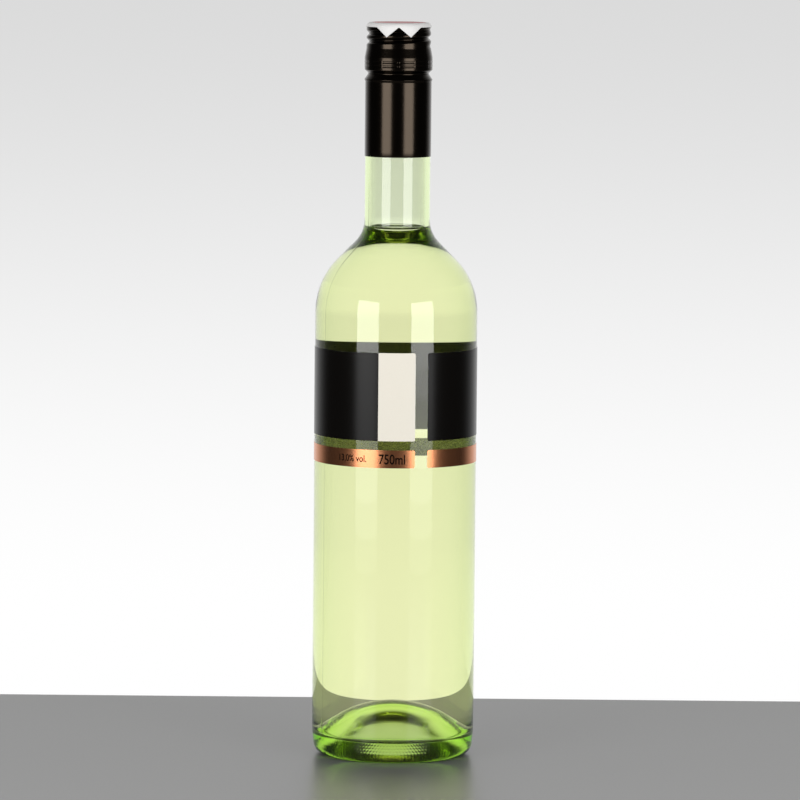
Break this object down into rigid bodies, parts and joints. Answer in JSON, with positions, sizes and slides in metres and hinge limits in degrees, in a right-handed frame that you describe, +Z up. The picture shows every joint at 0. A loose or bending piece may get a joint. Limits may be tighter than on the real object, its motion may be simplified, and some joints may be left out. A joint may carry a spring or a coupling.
{
  "type": "wine bottle",
  "caption": "Full clear green glass wine bottle with a long dark screw closure, a paper seal, a dark wrap-round label and a copper-coloured strip, standing on a ring round a deep punt.",
  "frame": {"origin": "centre of the base, on the surface that the bottle stands on", "axes": "+Z up along the bottle's axis, -Y towards the front, where the label's two ends meet"},
  "size_m": [0.0736, 0.0736, 0.3317],
  "materials": {
    "glass": "clear, pale green",
    "wine": "clear pale yellow-green liquid",
    "closure": "dark brown satin lacquer on aluminium",
    "seal": "coated white paper with a round red field",
    "label": "satin black paper with a white panel",
    "foil": "copper-coloured foil paper"
  },
  "bodies": {
    "root": {"bottle": "glass", "wine": "wine", "closure": "closure", "seal": "seal", "label_band": "label", "label_strip": "foil"}
  },
  "joints": []
}
